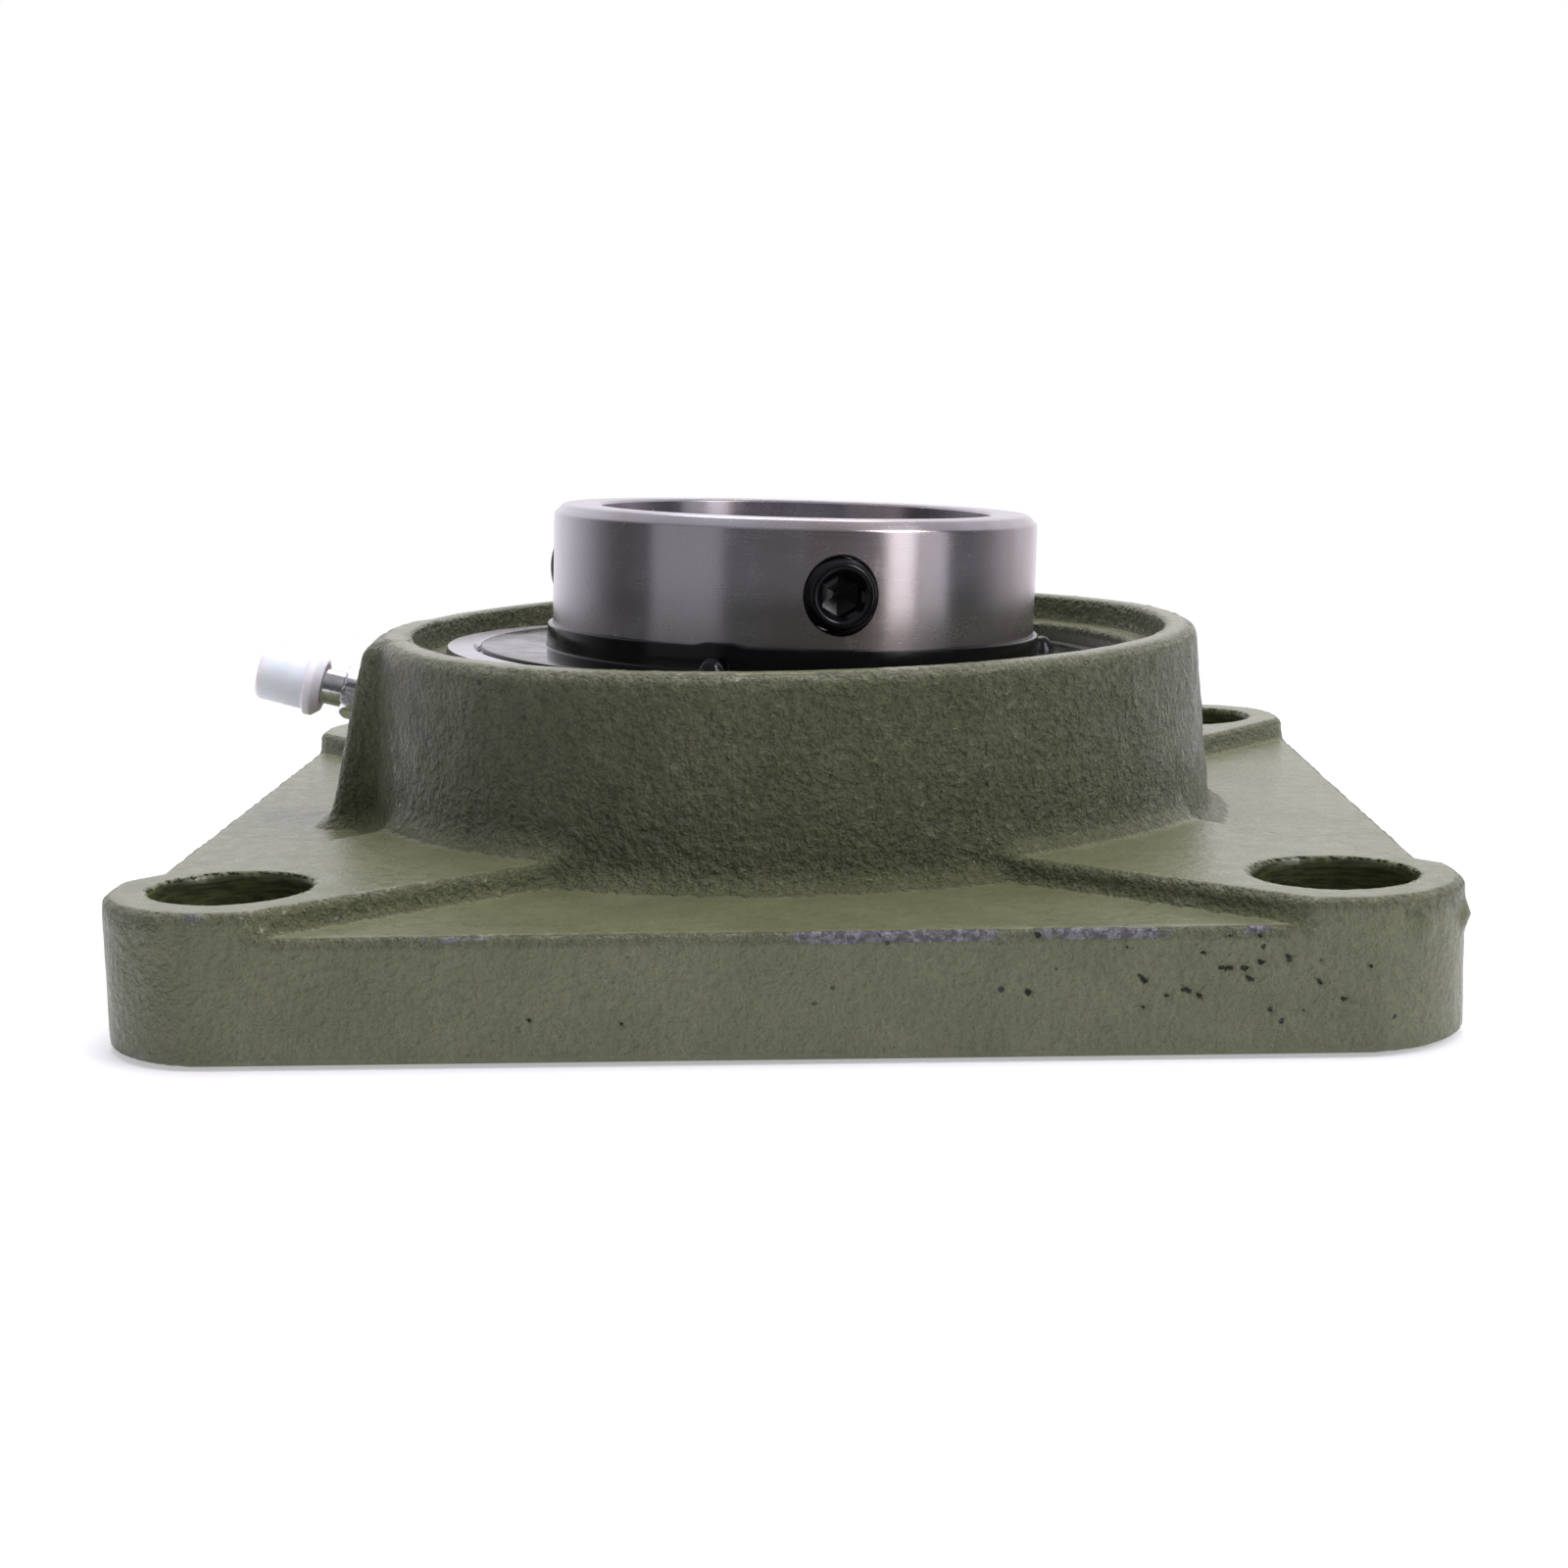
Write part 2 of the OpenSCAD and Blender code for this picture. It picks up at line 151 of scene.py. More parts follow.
def make_camera():
    """A long lens a little above the flange, in front of its -Y side."""
    yaw = math.radians(CAMERA_YAW)
    pitch = math.radians(CAMERA_PITCH)
    roll = math.radians(CAMERA_ROLL)
    forward = Vector(
        (math.sin(yaw) * math.cos(pitch), math.cos(yaw) * math.cos(pitch), -math.sin(pitch))
    )
    level = Vector((math.cos(yaw), -math.sin(yaw), 0))
    above = level.cross(forward)
    right = level * math.cos(roll) + above * math.sin(roll)
    up = above * math.cos(roll) - level * math.sin(roll)
    camera = bpy.data.objects.new("camera", bpy.data.cameras.new("camera"))
    camera.data.lens = CAMERA_LENS
    camera.data.sensor_width = 36
    camera.data.clip_start = 0.01
    place = Matrix.Translation([value * MM for value in CAMERA_PLACE])
    camera.matrix_world = place @ Matrix((right, up, -forward)).transposed().to_4x4()
    bpy.context.scene.collection.objects.link(camera)
    bpy.context.scene.camera = camera


def make_light(name, azimuth, low, high, distance, width, power):
    """A soft panel that faces the insert, azimuth degrees round from -Y towards +X.

    Its centre lies halfway between the heights low and high, and its length is high - low.
    """
    data = bpy.data.lights.new(name, "AREA")
    data.shape = "RECTANGLE"
    data.size = width
    data.size_y = high - low
    data.energy = power
    data.color = LIGHT_TINT
    light = bpy.data.objects.new(name, data)
    angle = math.radians(azimuth)
    place = Vector((math.sin(angle) * distance, -math.cos(angle) * distance, (low + high) / 2))
    light.matrix_world = (
        Matrix.Translation(place)
        @ (Vector((0, 0, SEAT_Z * MM)) - place).to_track_quat("-Z", "Y").to_matrix().to_4x4()
    )
    bpy.context.scene.collection.objects.link(light)
    return light


def world_ramp(tree, source, low, high, dim, bright):
    """Brightness that rises smoothly along one direction of the sky."""
    part = tree.nodes.new("ShaderNodeMapRange")
    part.interpolation_type = "SMOOTHSTEP"
    part.inputs["From Min"].default_value = low
    part.inputs["From Max"].default_value = high
    part.inputs["To Min"].default_value = dim
    part.inputs["To Max"].default_value = bright
    tree.links.new(source, part.inputs["Value"])
    return part.outputs["Result"]


def make_world():
    """A white studio: bright behind, dim on the camera's side, plain white to look at."""
    world = bpy.data.worlds.new("studio")
    bpy.context.scene.world = world
    world.use_nodes = True
    tree = world.node_tree
    background = tree.nodes["Background"]
    coordinates = tree.nodes.new("ShaderNodeTexCoord")
    split = tree.nodes.new("ShaderNodeSeparateXYZ")
    tree.links.new(coordinates.outputs["Generated"], split.inputs[0])
    total = tree.nodes.new("ShaderNodeMath")
    total.operation = "ADD"
    tree.links.new(world_ramp(tree, split.outputs["Y"], -0.05, 1.05, 0.085, 1.1), total.inputs[0])
    tree.links.new(world_ramp(tree, split.outputs["Z"], 0.15, 1.0, 0.0, 0.30), total.inputs[1])
    tree.links.new(total.outputs[0], background.inputs["Strength"])
    background.inputs["Color"].default_value = (0.965, 0.94, 1.0, 1)
    plain = tree.nodes.new("ShaderNodeBackground")
    plain.inputs["Color"].default_value = (1, 1, 1, 1)
    path = tree.nodes.new("ShaderNodeLightPath")
    mix = tree.nodes.new("ShaderNodeMixShader")
    tree.links.new(path.outputs["Is Camera Ray"], mix.inputs[0])
    tree.links.new(background.outputs[0], mix.inputs[1])
    tree.links.new(plain.outputs[0], mix.inputs[2])
    tree.links.new(mix.outputs[0], tree.nodes["World Output"].inputs["Surface"])


def make_floor():
    """A white table top that glows like the backdrop. Glossy surfaces see only its near part."""
    half = 4.0
    corners = [(-half, -half, 0), (half, -half, 0), (half, half, 0), (-half, half, 0)]
    mesh = bpy.data.meshes.new("floor")
    mesh.from_pydata(corners, [], [(0, 1, 2, 3)])
    floor = bpy.data.objects.new("floor", mesh)
    floor.location.z = -0.0004
    bpy.context.scene.collection.objects.link(floor)
    mesh.materials.append(floor_white())


def floor_white():
    """Pale with soft shadows near the part, and glowing white further away from it."""
    shaded_to, white_from = 0.08, 0.30
    mirrored_to, unseen_from = 0.16, 0.26
    graph = Graph("floor_white")
    graph.set(Roughness=0.9)
    graph.set(Base_Color=(0.6, 0.6, 0.61, 1))
    graph.set(Emission_Color=(0.97, 0.96, 1.0, 1))
    graph.set(Emission_Strength=0.40)
    away = graph.node("ShaderNodeVectorMath", operation="LENGTH")
    graph.link(graph.coordinates(), away.inputs[0])
    glow = graph.node("ShaderNodeEmission")
    white = graph.node("ShaderNodeMixShader")
    graph.link(graph.span(away.outputs["Value"], shaded_to, white_from), white.inputs[0])
    graph.link(graph.shader.outputs[0], white.inputs[1])
    graph.link(glow.outputs[0], white.inputs[2])
    path = graph.node("ShaderNodeLightPath")
    far = graph.span(away.outputs["Value"], mirrored_to, unseen_from)
    unseen = graph.math("MULTIPLY", far, path.outputs["Is Glossy Ray"])
    clear = graph.node("ShaderNodeBsdfTransparent")
    mix = graph.node("ShaderNodeMixShader")
    graph.link(unseen, mix.inputs[0])
    graph.link(white.outputs[0], mix.inputs[1])
    graph.link(clear.outputs[0], mix.inputs[2])
    graph.link(mix.outputs[0], graph.output.inputs["Surface"])
    return graph.material


def make_studio():
    """Sky and seven panels. The last two only light the part, and don't show in glossy surfaces."""
    make_world()
    make_light("key_right", 51, -0.25, 0.75, 1.1, 0.28, 1.8)
    make_light("key_right_edge", 68, -0.25, 0.75, 1.1, 0.30, 0.7)
    make_light("fill_left", -50, -0.25, 0.75, 1.2, 0.8, 0.7)
    make_light("high_right", 62, 0.6, 1.1, 0.9, 0.5, 5.0)
    make_light("back_top", 180, 0.6, 1.1, 0.55, 0.5, 2.5)
    overhead = make_light("overhead", 0, 0.75, 1.25, 0.02, 0.5, 8.0)
    wash = make_light("wash_right", 85, -0.25, 0.75, 1.1, 0.6, 4.0)
    overhead.visible_glossy = False
    wash.visible_glossy = False
    bpy.context.scene.view_settings.view_transform = "Standard"


# ------------------------------------------------------------------ node graphs


class Graph:
    """One material's node graph, with short calls for the nodes that all of them use."""

    def __init__(self, name):
        self.material = bpy.data.materials.new(name)
        self.material.use_nodes = True
        self.tree = self.material.node_tree
        self.shader = self.tree.nodes["Principled BSDF"]
        self.output = self.tree.nodes["Material Output"]
        self._object = None

    def set(self, **values):
        for name, value in values.items():
            self.shader.inputs[name.replace("_", " ")].default_value = value

    def node(self, kind, **settings):
        made = self.tree.nodes.new(kind)
        for name, value in settings.items():
            setattr(made, name, value)
        return made

    def link(self, source, target):
        self.tree.links.new(source, target)

    def coordinates(self, stretch=None):
        """Points of the piece in its own frame, in metres, or squeezed by stretch."""
        if self._object is None:
            self._object = self.node("ShaderNodeTexCoord").outputs["Object"]
        if stretch is None:
            return self._object
        mapping = self.node("ShaderNodeMapping")
        mapping.inputs["Scale"].default_value = stretch
        self.link(self._object, mapping.inputs["Vector"])
        return mapping.outputs[0]

    def noise(self, size, detail=2.0, rough=0.5, stretch=None, bend=0.0):
        """Noise with features about size millimetres across, from 0 to 1."""
        made = self.node("ShaderNodeTexNoise")
        made.inputs["Scale"].default_value = 1 / (size * MM)
        made.inputs["Detail"].default_value = detail
        made.inputs["Roughness"].default_value = rough
        made.inputs["Distortion"].default_value = bend
        self.link(self.coordinates(stretch), made.inputs["Vector"])
        return made.outputs["Fac"]

    def cells(self, size, stretch=None):
        """Distance to the nearest of scattered points, and a random value for each point."""
        made = self.node("ShaderNodeTexVoronoi")
        made.inputs["Scale"].default_value = 1 / (size * MM)
        self.link(self.coordinates(stretch), made.inputs["Vector"])
        split = self.node("ShaderNodeSeparateColor")
        self.link(made.outputs["Color"], split.inputs[0])
        return made.outputs["Distance"], split.outputs[0]

    def mark(self, name):
        """A value that the mesh carries at its points."""
        return self.node("ShaderNodeAttribute", attribute_name=name).outputs["Fac"]

    def span(self, value, low, high, to_low=0.0, to_high=1.0):
        made = self.node("ShaderNodeMapRange", interpolation_type="SMOOTHSTEP")
        self.link(value, made.inputs["Value"])
        for name, number in zip(
            ("From Min", "From Max", "To Min", "To Max"), (low, high, to_low, to_high)
        ):
            made.inputs[name].default_value = number
        return made.outputs["Result"]

    def math(self, operation, first, second):
        made = self.node("ShaderNodeMath", operation=operation)
        for socket, value in zip(made.inputs, (first, second)):
            if isinstance(value, (int, float)):
                socket.default_value = value
            else:
                self.link(value, socket)
        return made.outputs[0]

    def mix(self, share, first, second):
        """Mixes two colours; each is a socket or (red, green, blue)."""
        made = self.node("ShaderNodeMix", data_type="RGBA")
        self.link(share, made.inputs["Factor"])
        for index, value in ((6, first), (7, second)):
            if isinstance(value, tuple):
                made.inputs[index].default_value = (*value, 1)
            else:
                self.link(value, made.inputs[index])
        return made.outputs[2]

    def colour(self, value):
        self.link(value, self.shader.inputs["Base Color"])

    def rough(self, value):
        self.link(value, self.shader.inputs["Roughness"])

    def bump(self, height, depth, below=None):
        """Adds a bump of depth millimetres for height from 0 to 1."""
        made = self.node("ShaderNodeBump")
        made.inputs["Distance"].default_value = depth * MM
        made.inputs["Strength"].default_value = 1.0
        self.link(height, made.inputs["Height"])
        if below is not None:
            self.link(below, made.inputs["Normal"])
        self.link(made.outputs[0], self.shader.inputs["Normal"])
        return made.outputs[0]


# ------------------------------------------------------------------ materials


# painted shade for the insides of the blow holes
HOLE_SHADE_BLACK = (0.008, 0.009, 0.008)


def paint_colour(g, sand, grains):
    """Patchy olive. Where there is sand relief, the hollows between the grains get painted shade."""
    patches = g.noise(9, 3, 0.6)
    base = g.mix(g.span(patches, 0.3, 0.7), (0.110, 0.119, 0.062), (0.134, 0.143, 0.079))
    fine = g.noise(1.1, 3, 0.6)
    base = g.mix(g.span(fine, 0.35, 0.75, 0, 0.6), base, (0.094, 0.102, 0.053))
    # painted shade: darkens the hollows between the sand grains
    hollow_shade = g.math("MULTIPLY", g.span(grains, 0.36, 0.10), sand)
    return g.mix(g.math("MULTIPLY", hollow_shade, 0.6), base, (0.030, 0.034, 0.020))


def bare_iron(g):
    """Lilac-grey iron, which shows where paint has flaked off."""
    cloud = g.span(g.noise(0.8, 2, 0.6), 0.4, 0.65)
    return g.mix(cloud, (0.080, 0.078, 0.085), (0.20, 0.195, 0.22))


def flakes(g):
    """1 where the paint has flaked off a worn edge, with a ragged outline."""
    ragged = g.math("MULTIPLY", g.noise(0.9, 5, 0.8, stretch=(0.5, 0.5, 1)), 1.3)
    return g.span(g.math("ADD", g.mark("wear"), ragged), 1.20, 1.30)


def specks(g):
    """1 in the small blow holes, which are too small for the mesh. The paint dents them and fills them with
    painted shade.
    """
    distance, chance = g.cells(2.1)
    size = g.span(chance, 0.84, 1.0, 0.0, 0.24)
    bent = g.math("ADD", distance, g.math("MULTIPLY", g.noise(0.5), 0.22))
    inside = g.math("LESS_THAN", bent, g.math("ADD", size, 0.06))
    return g.math("MULTIPLY", inside, g.mark("pitted"))


def shaded_hole_wall(g):
    """Painted shade down the bolt holes, with tool streaks along them."""
    streak = g.noise(1.3, 3, 0.6, stretch=(0.35, 0.35, 3.5))
    return g.mix(g.span(streak, 0.40, 0.60), (0.016, 0.019, 0.008), (0.055, 0.064, 0.022))


def green_paint():
    """Olive paint over a sand casting, worn to grey metal on its edges, with painted shade in its grain hollows,
    blow holes and bolt holes.
    """
    g = Graph("green_paint")
    sand = g.mark("sand")
    grains = g.span(g.noise(0.95, 4, 0.62), 0.30, 0.70)
    flaked = flakes(g)
    speck = specks(g)
    deep = g.math("ADD", g.mark("deep"), g.math("MULTIPLY", g.noise(0.5, 2, 0.6), 0.5))
    # painted shade deep in the larger blow holes, which the mesh also dents
    black = g.span(deep, 0.74, 0.84)
    colour = g.mix(flaked, paint_colour(g, sand, grains), bare_iron(g))
    # painted shade in the small blow holes
    colour = g.mix(speck, colour, HOLE_SHADE_BLACK)
    # painted shade on the walls of the bolt holes
    colour = g.mix(g.mark("hole"), colour, shaded_hole_wall(g))
    # the larger blow holes get their painted shade here
    g.colour(g.mix(black, colour, HOLE_SHADE_BLACK))
    shine = g.span(g.noise(2.5, 3, 0.6), 0.3, 0.7, 0.24, 0.34)
    matt = g.math("ADD", shine, g.math("MULTIPLY", flaked, 0.10))
    g.rough(g.math("SUBTRACT", matt, g.math("MULTIPLY", sand, 0.08)))
    g.set(IOR=1.5)
    coarse = g.bump(g.math("MULTIPLY", grains, sand), 0.85)
    middle = g.bump(g.math("MULTIPLY", g.noise(0.36, 2, 0.5), sand), 0.16, coarse)
    fine = g.bump(g.noise(0.6, 2, 0.5), 0.03, middle)
    g.bump(g.math("SUBTRACT", 1.0, g.math("MAXIMUM", speck, black)), 0.25, fine)
    return g.material


def ground_steel():
    """Ground bearing steel: satin, with fine lines around the axis, a brown tint and nicks."""
    g = Graph("ring_steel")
    tint = g.noise(13, 2, 0.5, stretch=(1, 1, 0.2))
    base = g.mix(g.span(tint, 0.40, 0.72), (0.50, 0.485, 0.525), (0.43, 0.375, 0.375))
    lines = g.noise(1.4, 2, 0.6, stretch=(0.2, 0.2, 9))
    smudge = g.noise(3.0, 4, 0.65)
    base = g.mix(g.span(smudge, 0.58, 0.85, 0, 0.25), base, (0.30, 0.28, 0.28))
    nick_at, nick_chance = g.cells(4.5, stretch=(1, 1, 0.5))
    nick = g.math("LESS_THAN", nick_at, g.span(nick_chance, 0.84, 1.0, 0.0, 0.07))
    g.colour(g.mix(nick, base, (0.08, 0.07, 0.07)))
    g.set(Metallic=1.0, Anisotropic=0.8, Anisotropic_Rotation=0.25)
    g.rough(g.math("ADD", g.span(lines, 0.3, 0.7, 0.24, 0.27), g.span(smudge, 0.5, 0.8, 0, 0.05)))
    g.bump(g.math("SUBTRACT", lines, g.math("MULTIPLY", nick, 8.0)), 0.0008)
    return g.material


def plain_metal(name, low, high, rough):
    """A metal with slight cloudiness in colour and gloss."""
    size = 1.2
    g = Graph(name)
    cloud = g.noise(size, 3, 0.6)
    g.colour(g.mix(g.span(cloud, 0.35, 0.65), low, high))
    g.rough(g.span(g.noise(size * 2, 3, 0.6), 0.3, 0.7, rough * 0.8, rough * 1.25))
    g.set(Metallic=1.0)
    g.bump(g.noise(size * 0.4, 2, 0.5), 0.01)
    return g.material


def black_gloss(name, rough, size):
    """A thin black coat on steel, with slight orange peel and dust."""
    g = Graph(name)
    dust = g.span(g.noise(size, 4, 0.7), 0.55, 0.85)
    g.colour(g.mix(dust, (0.004, 0.004, 0.005), (0.014, 0.014, 0.016)))
    g.rough(g.span(g.noise(size * 2, 3, 0.6), 0.3, 0.7, rough * 0.7, rough * 1.4))
    g.set(IOR=1.36)
    g.bump(g.noise(size * 0.6, 2, 0.5), 0.012)
    return g.material


def rubber():
    """Matt black rubber with slight cloudiness."""
    g = Graph("black_rubber")
    g.colour(g.mix(g.noise(0.8, 3, 0.6), (0.018, 0.018, 0.020), (0.032, 0.032, 0.034)))
    g.rough(g.span(g.noise(1.5), 0.3, 0.7, 0.55, 0.7))
    g.bump(g.noise(0.25), 0.02)
    return g.material


def milky_plastic():
    """Milky polyethylene: light gets in and spreads."""
    g = Graph("clear_white_plastic")
    cloud = g.noise(3, 3, 0.6)
    g.colour(g.mix(g.span(cloud, 0.3, 0.7), (0.84, 0.82, 0.90), (0.90, 0.885, 0.96)))
    g.rough(g.span(g.noise(1.2), 0.3, 0.7, 0.32, 0.42))
    g.set(Subsurface_Weight=0.5, Subsurface_Scale=0.002, IOR=1.5)
    g.bump(g.noise(0.9, 3, 0.6), 0.02)
    return g.material


def make_materials():
    return {
        "green_paint": green_paint(),
        "ring_steel": ground_steel(),
        "ball_steel": plain_metal("ball_steel", (0.62, 0.62, 0.64), (0.70, 0.70, 0.72), 0.08),
        "cage_steel": plain_metal("cage_steel", (0.42, 0.42, 0.43), (0.55, 0.55, 0.56), 0.3),
        "seal_steel": plain_metal("seal_steel", (0.35, 0.35, 0.37), (0.48, 0.48, 0.50), 0.32),
        "spring_steel": plain_metal("spring_steel", (0.45, 0.45, 0.46), (0.58, 0.58, 0.6), 0.25),
        "zinc_plate": plain_metal("zinc_plate", (0.66, 0.68, 0.70), (0.80, 0.82, 0.84), 0.16),
        "black_enamel": black_gloss("black_enamel", 0.16, 2.5),
        "black_oxide": black_gloss("black_oxide", 0.16, 1.0),
        "black_rubber": rubber(),
        "clear_white_plastic": milky_plastic(),
    }


# ------------------------------------------------------------------ mesh helpers


def scattered(points, size, seed):
    """Smooth random values from -1 to 1, with features about size across, at numpy points."""
    place = points / size
    low = np.floor(place).astype(np.int64)
    part = place - low
    part = part * part * (3 - 2 * part)
    total = np.zeros(len(points))
    for corner in range(8):
        step = np.array([corner & 1, corner >> 1 & 1, corner >> 2 & 1])
        x, y, z = (low + step).T
        mixed = (x * 73856093) ^ (y * 19349663) ^ (z * 83492791) ^ (seed * 2654435761)
        mixed = (mixed ^ (mixed >> 13)) * 1274126177 & 0xFFFFFFFF
        mixed = (mixed ^ (mixed >> 16)) & 0xFFFF
        total += np.prod(np.where(step, part, 1 - part), axis=1) * (mixed / 32767.5 - 1)
    return total


def add_mark(mesh, name, values):
    mesh.attributes.new(name, "FLOAT", "POINT").data.foreach_set("value", values.astype(np.float32))


def make_piece(name, mesh, place, body, node, slot, sharp=35):
    """Puts a mesh in the scene as the piece that stands for a CAD node."""
    mesh.validate()
    mesh.shade_smooth()
    mesh.set_sharp_from_angle(angle=math.radians(sharp))
    mesh.materials.append(MATERIALS[slot])
    piece = bpy.data.objects.new(name, mesh)
    bpy.context.scene.collection.objects.link(piece)
    piece.matrix_world = place
    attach(piece, body)
    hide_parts(node)
    return piece


def rounded(outline, steps=5):
    """Rounds an outline of (radius, height, corner radius) points into (radius, height) points."""
    points = []
    count = len(outline)
    for i, (r, z, size) in enumerate(outline):
        here = Vector((r, z))
        before = Vector(outline[i - 1][:2]) - here
        after = Vector(outline[(i + 1) % count][:2]) - here
        if size == 0:
            points.append((r, z))
            continue
        turn = before.angle(after)
        reach = min(size / math.tan(turn / 2), before.length * 0.49, after.length * 0.49)
        start = here + before.normalized() * reach
        end = here + after.normalized() * reach
        for k in range(steps + 1):
            t = k / steps
            point = start * (1 - t) ** 2 + here * 2 * t * (1 - t) + end * t * t
            points.append((point.x, point.y))
    return points


def turned(name, rings, segments, closed=True):
    """A mesh of rings about +Z. A ring is (radii, heights): each one number or one a segment."""
    angles = np.arange(segments) * 2 * math.pi / segments
    points = []
    for radius, height in rings:
        radius = np.broadcast_to(radius, segments)
        height = np.broadcast_to(height, segments)
        points.append(
            np.stack([radius * np.cos(angles), radius * np.sin(angles), height], axis=1)
        )
    count = len(rings)
    faces = []
    for i in range(count if closed else count - 1):
        here, there = i * segments, (i + 1) % count * segments
        for k in range(segments):
            after = (k + 1) % segments
            faces.append((here + k, here + after, there + after, there + k))
    if not closed:
        faces.append(tuple(reversed(range(segments))))
        faces.append(tuple((count - 1) * segments + k for k in range(segments)))
    mesh = bpy.data.meshes.new(name)
    mesh.from_pydata((np.concatenate(points) * MM).tolist(), [], faces)
    outward(mesh)
    return mesh


def outward(mesh):
    """Turns every face of a closed mesh outwards."""
    work = bmesh.new()
    work.from_mesh(mesh)
    bmesh.ops.recalc_face_normals(work, faces=work.faces)
    work.to_mesh(mesh)
    work.free()


def hexagon(across, segments):
    """Radii of a hexagon, across its flats, at each segment. Corners lie at angle 0."""
    angle = np.arange(segments) * 2 * math.pi / segments
    return across / 2 / np.cos((angle % (math.pi / 3)) - math.pi / 6)


def carve(mesh, cutters):
    """Cuts closed meshes out of a mesh."""
    body = bpy.data.objects.new("carve", mesh)
    bpy.context.scene.collection.objects.link(body)
    made = [body]
    for cutter in cutters:
        tool = bpy.data.objects.new("cutter", cutter)
        bpy.context.scene.collection.objects.link(tool)
        made.append(tool)
        change = body.modifiers.new("cut", "BOOLEAN")
        change.operation = "DIFFERENCE"
        change.solver = "EXACT"
        change.object = tool
    graph = bpy.context.evaluated_depsgraph_get()
    result = bpy.data.meshes.new_from_object(body.evaluated_get(graph))
    for item in made:
        bpy.data.objects.remove(item)
    return result


# ------------------------------------------------------------------ housing


def join(a, b, radius):
    """Union of two distance fields with a fillet."""
    near = np.hypot(np.maximum(radius - a, 0), np.maximum(radius - b, 0))
    return np.maximum(radius, np.minimum(a, b)) - near


def overlap(a, b, radius):
    """Intersection of two distance fields with a rounded edge."""
    near = np.hypot(np.maximum(radius + a, 0), np.maximum(radius + b, 0))
    return np.minimum(-radius, np.maximum(a, b)) + near


def flange_field(X, Y, Z):
    """The square flange with its four recessed panels."""
    straight = FLANGE_HALF - CORNER_R
    over_x = np.abs(X) - straight
    over_y = np.abs(Y) - straight
    plan = np.hypot(np.maximum(over_x, 0), np.maximum(over_y, 0)) - CORNER_R
    plan = plan + np.minimum(np.maximum(over_x, over_y), 0)
    body = overlap(plan, Z - FLANGE_T, 1.3)
    # each panel's side wall runs from the flange's edge to the boss
    far = np.maximum(np.abs(X), np.abs(Y))
    near = np.minimum(np.abs(X), np.abs(Y))
    slope = (PANEL_OUTER[1] - PANEL_INNER[1]) / (PANEL_OUTER[0] - PANEL_INNER[0])
    wall = (near - PANEL_OUTER[1] - slope * (far - PANEL_OUTER[0])) / math.hypot(1, slope)
    return overlap(body, -overlap(wall, PANEL_Z - Z, 1.5), 1.0)


def boss_field(turn, Z):
    """The drafted round boss."""
    side = (turn - BOSS_R + (Z - FLANGE_T) * math.tan(BOSS_DRAFT)) * math.cos(BOSS_DRAFT)
    return overlap(side, Z - BOSS_TOP, 2.0)


def lug_field(X, Y, Z, face):
    """The lug for the nipple, which widens towards the boss."""
    flank = np.abs(Y) - 11.3 - 0.16 * (X + 62)
    return overlap(overlap(face, flank, 1.6), np.maximum(Z - LUG_TOP, X + 45), 1.5)


def seat_field(X, Y, Z, turn):
    """Room for the insert: spherical seat, back opening and loading slots."""
    ball = np.sqrt(X * X + Y * Y + (Z - SEAT_Z) ** 2) - SEAT_R
    inside = np.minimum(ball, np.maximum(turn - BACK_R, Z - SEAT_Z))
    slot = np.maximum(np.maximum(turn - SEAT_R - 0.2, np.abs(X) - SLOT_HALF), SEAT_Z - Z)
    return np.minimum(inside, slot)


def mouth_field(turn, Z):
    """Room in front of the seat: throat and counterbore."""
    throat = np.maximum(turn - THROAT_R, SEAT_Z - Z)
    return np.minimum(throat, np.maximum(turn - MOUTH_R, LEDGE_Z - Z))


def grease_field(X, Y, Z, face):
    """Tapped hole and grease duct along the nipple's axis."""
    up = (X - NIPPLE_ROOT.x) * NIPPLE_AXIS.z - (Z - NIPPLE_ROOT.z) * NIPPLE_AXIS.x
    off_axis = np.hypot(up, Y)
    tapped = np.maximum(off_axis - TAPPED_R, np.maximum(-TAPPED_DEPTH - face, face - 8))
    duct = np.maximum(off_axis - DUCT_R, np.maximum(-DUCT_DEPTH - face, face - 8))
    return np.minimum(tapped, duct)


def housing_field(X, Y, Z):
    """Signed distance to the casting's surface, in millimetres, at a grid of points."""
    turn = np.hypot(X, Y)
    face = (X - NIPPLE_ROOT.x) * NIPPLE_AXIS.x + (Z - NIPPLE_ROOT.z) * NIPPLE_AXIS.z
    body = join(flange_field(X, Y, Z), boss_field(turn, Z), BOSS_FILLET)
    body = join(body, lug_field(X, Y, Z, face), LUG_FILLET)
    body = overlap(body, -Z, 0.6)
    body = overlap(body, -seat_field(X, Y, Z, turn), 0.6)
    body = overlap(body, -mouth_field(turn, Z), 0.8)
    for x in (-BOLT, BOLT):
        for y in (-BOLT, BOLT):
            body = overlap(body, BOLT_R - np.hypot(X - x, Y - y), 0.5)
    return np.maximum(body, -grease_field(X, Y, Z, face))


